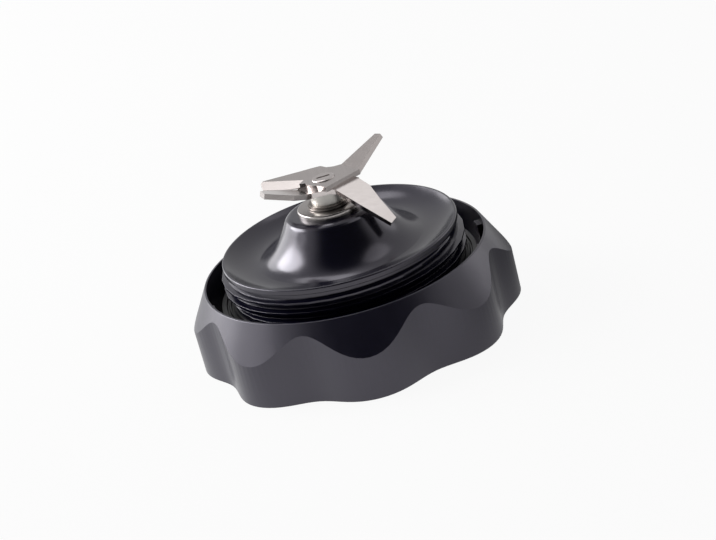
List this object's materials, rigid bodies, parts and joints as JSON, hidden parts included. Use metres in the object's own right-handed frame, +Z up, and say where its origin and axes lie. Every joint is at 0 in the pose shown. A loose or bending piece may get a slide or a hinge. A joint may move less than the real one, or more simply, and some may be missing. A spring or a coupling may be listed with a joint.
{
  "type": "blender blade assembly",
  "caption": "Blender jug base: crossed stamped steel blades on a sealed shaft in a threaded flange with a central cone, inside a lobed twist-lock grip collar.",
  "frame": {"origin": "centre of the collar's bottom face, on the shaft's axis", "axes": "+Z up along the shaft towards the blades; -Y is the side the picture shows"},
  "size_m": [0.1238, 0.1238, 0.0698],
  "materials": {
    "collar_plastic": "satin",
    "carrier_plastic": "gloss",
    "gasket_rubber": "matt",
    "screw_steel": "satin",
    "bush_bronze": "satin",
    "blade_steel": "satin",
    "cup_steel": "polished",
    "coupling_plastic": "satin"
  },
  "bodies": {
    "base": {"collar": "collar_plastic", "blade_carrier": "carrier_plastic", "jug_gasket": "gasket_rubber", "carrier_screws": "screw_steel", "bearing_sleeve": "screw_steel", "upper_bush": "bush_bronze", "lower_bush": "bush_bronze", "shaft_seal": "gasket_rubber", "seal_cup": "cup_steel"},
    "rotor": {"drive_shaft": "blade_steel", "slinger_washer": "cup_steel", "thrust_washer": "screw_steel", "blade_spacer": "cup_steel", "lower_blade": "blade_steel", "upper_blade": "blade_steel", "circlip": "screw_steel", "lower_washer": "screw_steel", "drive_coupling": "coupling_plastic", "coupling_insert": "screw_steel"}
  },
  "joints": [
    {"name": "rotor_spin", "type": "hinge", "parent": "base", "child": "rotor", "pos_m": [0, 0, 0.0362], "axis": [0, 0, 1], "continuous": true}
  ]
}
